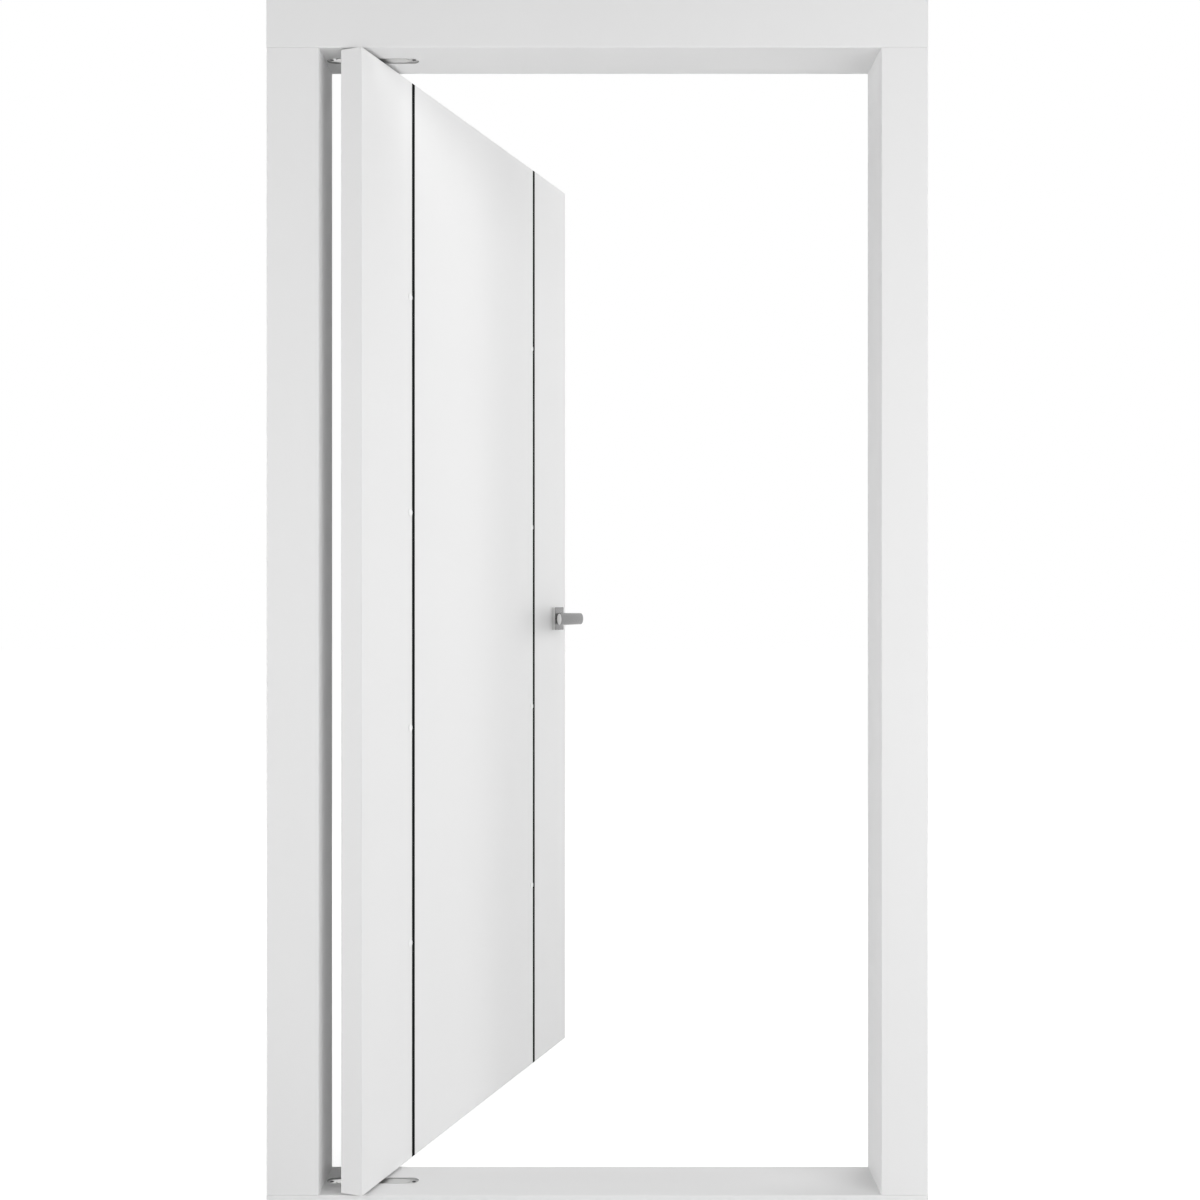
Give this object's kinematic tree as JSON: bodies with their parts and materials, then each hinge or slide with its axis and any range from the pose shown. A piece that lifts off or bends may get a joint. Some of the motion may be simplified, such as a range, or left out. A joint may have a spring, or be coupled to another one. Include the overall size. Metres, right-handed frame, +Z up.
{
  "type": "interior pivot door",
  "caption": "Wide flush interior door leaf with black upright inlay strips, turning on pivots set in from its edge, in a painted box frame with a sill.",
  "frame": {"origin": "on the underside of the sill, midway between the jambs and at the middle of the frame's depth", "axes": "+X from the pivot-side jamb to the lock-side jamb, +Y through the wall from the front to the back, +Z up"},
  "size_m": [1.228, 0.9823, 2.257],
  "materials": {
    "frame_paint": "satin white paint",
    "leaf_paint": "satin white paint",
    "inlay": "black anodised",
    "cap": "white, moulded",
    "pivot_steel": "brushed",
    "washer": "black, turned",
    "handle_steel": "satin"
  },
  "bodies": {
    "frame": {"pivot_jamb": "frame_paint", "lock_jamb": "frame_paint", "frame_head": "frame_paint", "frame_sill": "frame_paint", "sill_plate": "pivot_steel", "sill_plate_cover": "pivot_steel", "bottom_pivot_pin": "pivot_steel", "thrust_washer": "washer", "head_plate": "pivot_steel", "head_plate_cover": "pivot_steel", "top_pivot_pin": "pivot_steel"},
    "leaf": {"pivot_panel": "leaf_paint", "centre_panel": "leaf_paint", "lock_panel": "leaf_paint", "pivot_strip_front": "inlay", "pivot_strip_back": "inlay", "lock_strip_front": "inlay", "lock_strip_back": "inlay", "pivot_caps_front": "cap", "pivot_caps_back": "cap", "lock_caps_front": "cap", "lock_caps_back": "cap", "bottom_pivot_case": "pivot_steel", "top_pivot_case": "pivot_steel", "latch_forend": "handle_steel", "latch_bolt": "handle_steel", "front_rose": "handle_steel", "back_rose": "handle_steel"},
    "handle": {"front_lever": "handle_steel", "back_lever": "handle_steel", "spindle": "pivot_steel"}
  },
  "joints": [
    {"name": "leaf_pivot", "type": "hinge", "parent": "frame", "child": "leaf", "pos_m": [-0.432, 0, 0], "axis": [0, 0, 1], "range_deg": [-160, 20]},
    {"name": "lever_turn", "type": "hinge", "parent": "leaf", "child": "handle", "pos_m": [-0.12931, 0.83163, 1.089], "axis": [0.9397, -0.342, 0], "range_deg": [0, 40], "stiffness_Nm_per_rad": 1.4, "springref_deg": -28.65}
  ]
}
